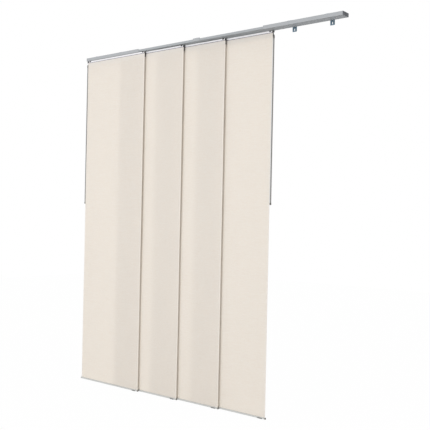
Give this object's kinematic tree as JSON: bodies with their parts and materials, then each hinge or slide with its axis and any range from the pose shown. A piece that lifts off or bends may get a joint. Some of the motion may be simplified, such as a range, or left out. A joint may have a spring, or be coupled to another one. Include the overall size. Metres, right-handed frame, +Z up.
{
  "type": "panel track blind",
  "caption": "Sliding panel blind: flat fabric panels hang from gliders in a telescoping multi-channel wall rail, with weighted bottom rails and a pull wand at each side.",
  "frame": {"origin": "on the wall plane, midway between the two screw slots of the centre wall bracket", "axes": "+X along the rail to the right as seen from the room, +Y into the wall, +Z up"},
  "size_m": [2.184, 0.0726, 2.4424],
  "materials": {
    "rail_paint": "satin light grey",
    "channel_paint": "satin light grey",
    "end_cap_plastic": "matte grey",
    "zinc_plate": "zinc plated",
    "screw_steel": "zinc plated",
    "clip_steel": "zinc plated",
    "panel_fabric": "plain woven, pale sand",
    "header_paint": "satin light grey",
    "tape": "hook-and-loop pile",
    "black_plastic": "matte black",
    "bottom_rail_paint": "satin light grey",
    "bottom_cap_plastic": "matte grey",
    "bottom_clip_plastic": "matte grey",
    "hook_wire": "plated wire",
    "connector_plastic": "matte grey",
    "wand_plastic": "satin grey"
  },
  "bodies": {
    "track": {"joiner": "rail_paint", "joiner_screws": "screw_steel", "centre_bracket": "zinc_plate", "centre_clip": "clip_steel", "centre_clip_screw": "screw_steel", "inner_channel_1": "channel_paint", "inner_channel_2": "channel_paint", "inner_channel_3": "channel_paint", "inner_channel_4": "channel_paint"},
    "left_rail": {"left_sleeve": "rail_paint", "left_end_cap": "end_cap_plastic", "left_brackets": "zinc_plate", "left_clips": "clip_steel", "left_clip_screws": "screw_steel"},
    "left_hook": {"left_wand_hook": "hook_wire"},
    "left_wand": {"left_wand_connector": "connector_plastic", "left_wand_rod": "wand_plastic", "left_wand_tip": "connector_plastic"},
    "right_rail": {"right_sleeve": "rail_paint", "right_end_cap": "end_cap_plastic", "right_brackets": "zinc_plate", "right_clips": "clip_steel", "right_clip_screws": "screw_steel"},
    "right_hook": {"right_wand_hook": "hook_wire"},
    "right_wand": {"right_wand_connector": "connector_plastic", "right_wand_rod": "wand_plastic", "right_wand_tip": "connector_plastic"},
    "panel_1": {"panel_1_bottom_caps": "bottom_cap_plastic", "panel_1_bottom_clip": "bottom_clip_plastic", "panel_1_bottom_rail": "bottom_rail_paint", "panel_1_fabric": "panel_fabric", "panel_1_gliders": "black_plastic", "panel_1_header": "header_paint", "panel_1_header_caps": "black_plastic", "panel_1_tape": "tape"},
    "panel_2": {"panel_2_bottom_caps": "bottom_cap_plastic", "panel_2_bottom_clip": "bottom_clip_plastic", "panel_2_bottom_rail": "bottom_rail_paint", "panel_2_fabric": "panel_fabric", "panel_2_gliders": "black_plastic", "panel_2_header": "header_paint", "panel_2_header_caps": "black_plastic", "panel_2_tape": "tape"},
    "panel_3": {"panel_3_bottom_caps": "bottom_cap_plastic", "panel_3_bottom_clip": "bottom_clip_plastic", "panel_3_bottom_rail": "bottom_rail_paint", "panel_3_fabric": "panel_fabric", "panel_3_gliders": "black_plastic", "panel_3_header": "header_paint", "panel_3_header_caps": "black_plastic", "panel_3_tape": "tape"},
    "panel_4": {"panel_4_bottom_caps": "bottom_cap_plastic", "panel_4_bottom_clip": "bottom_clip_plastic", "panel_4_bottom_rail": "bottom_rail_paint", "panel_4_fabric": "panel_fabric", "panel_4_gliders": "black_plastic", "panel_4_header": "header_paint", "panel_4_header_caps": "black_plastic", "panel_4_tape": "tape"}
  },
  "joints": [
    {"name": "left_rail_slide", "type": "slide", "parent": "track", "child": "left_rail", "axis": [-1, 0, 0], "range_m": [-0.51, 0]},
    {"name": "right_rail_slide", "type": "slide", "parent": "track", "child": "right_rail", "axis": [1, 0, 0], "range_m": [-0.51, 0]},
    {"name": "panel_1_slide", "type": "slide", "parent": "left_rail", "child": "panel_1", "axis": [1, 0, 0], "range_m": [-0.01, 1.567]},
    {"name": "panel_2_slide", "type": "slide", "parent": "left_rail", "child": "panel_2", "axis": [1, 0, 0], "range_m": [-0.362, 1.215]},
    {"name": "panel_3_slide", "type": "slide", "parent": "left_rail", "child": "panel_3", "axis": [1, 0, 0], "range_m": [-0.709, 0.868]},
    {"name": "panel_4_slide", "type": "slide", "parent": "left_rail", "child": "panel_4", "axis": [1, 0, 0], "range_m": [-1.068, 0.509]},
    {"name": "left_hook_swing", "type": "hinge", "parent": "panel_1", "child": "left_hook", "pos_m": [-1.0835, -0.06444, -0.0047], "axis": [0, 1, 0], "range_deg": [0, 45]},
    {"name": "left_wand_swing", "type": "hinge", "parent": "left_hook", "child": "left_wand", "pos_m": [-1.0835, -0.06444, -0.0287], "axis": [-1, 0, 0], "range_deg": [0, 45]},
    {"name": "right_hook_swing", "type": "hinge", "parent": "panel_4", "child": "right_hook", "pos_m": [0.5845, -0.01456, -0.0047], "axis": [0, -1, 0], "range_deg": [0, 45]},
    {"name": "right_wand_swing", "type": "hinge", "parent": "right_hook", "child": "right_wand", "pos_m": [0.5845, -0.01456, -0.0287], "axis": [-1, 0, 0], "range_deg": [0, 45]}
  ]
}
